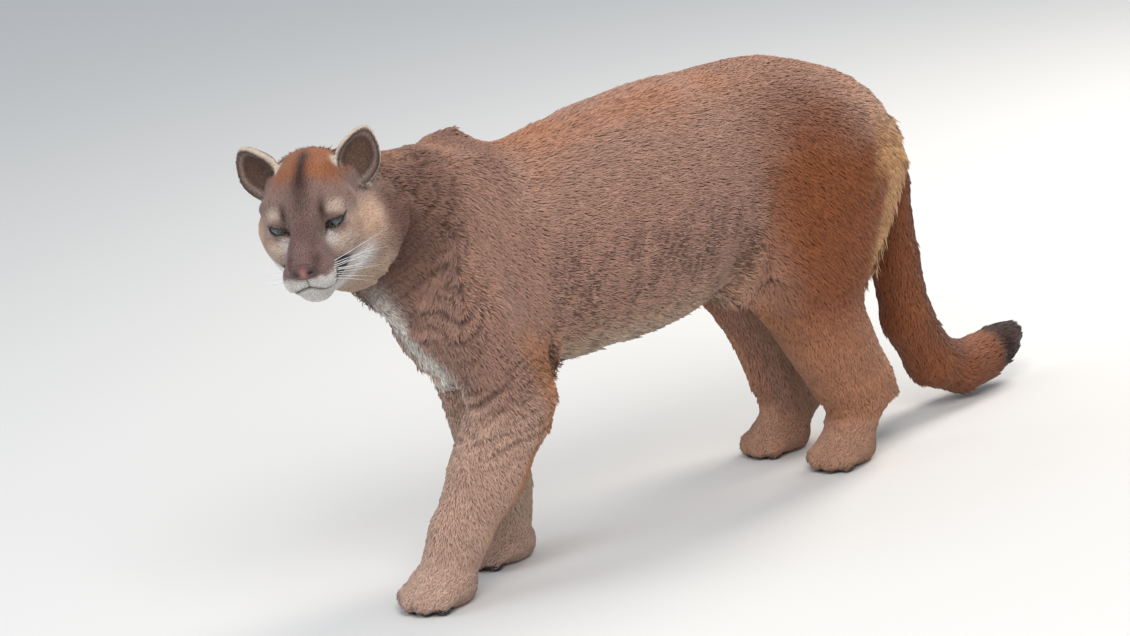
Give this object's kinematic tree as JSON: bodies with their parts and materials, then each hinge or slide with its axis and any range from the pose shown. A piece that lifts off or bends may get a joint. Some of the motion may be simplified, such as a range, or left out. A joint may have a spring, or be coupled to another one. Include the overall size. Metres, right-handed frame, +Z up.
{
  "type": "still life-size cougar model",
  "caption": "Life-size still cougar in mid-stride, head lowered and turned to its left, tail low with its tip raised.",
  "frame": {"origin": "on the ground, under the middle of the animal's bounding box", "axes": "+X towards the tail, -X towards the head, -Y the animal's left, +Z up"},
  "size_m": [1.4662, 0.3322, 0.7224],
  "materials": {
    "coat": "short dense fur",
    "nose_skin": "moist bare skin, also of pads",
    "eye": "wet gloss"
  },
  "bodies": {
    "root": {"thorax": "coat", "abdomen": "coat", "rump": "coat", "neck": "coat", "shoulder_left": "coat", "forearm_left": "coat", "forepaw_left": "coat", "thigh_left": "coat", "shank_left": "coat", "hindpaw_left": "coat", "shoulder_right": "coat", "forearm_right": "coat", "forepaw_right": "coat", "thigh_right": "coat", "shank_right": "coat", "hindpaw_right": "coat", "tail_root": "coat", "tail_middle": "coat", "tail_tip": "coat", "head": "coat", "ear_left": "coat", "ear_right": "coat", "nose": "nose_skin", "eye_left": "eye", "eye_right": "eye"}
  },
  "joints": []
}
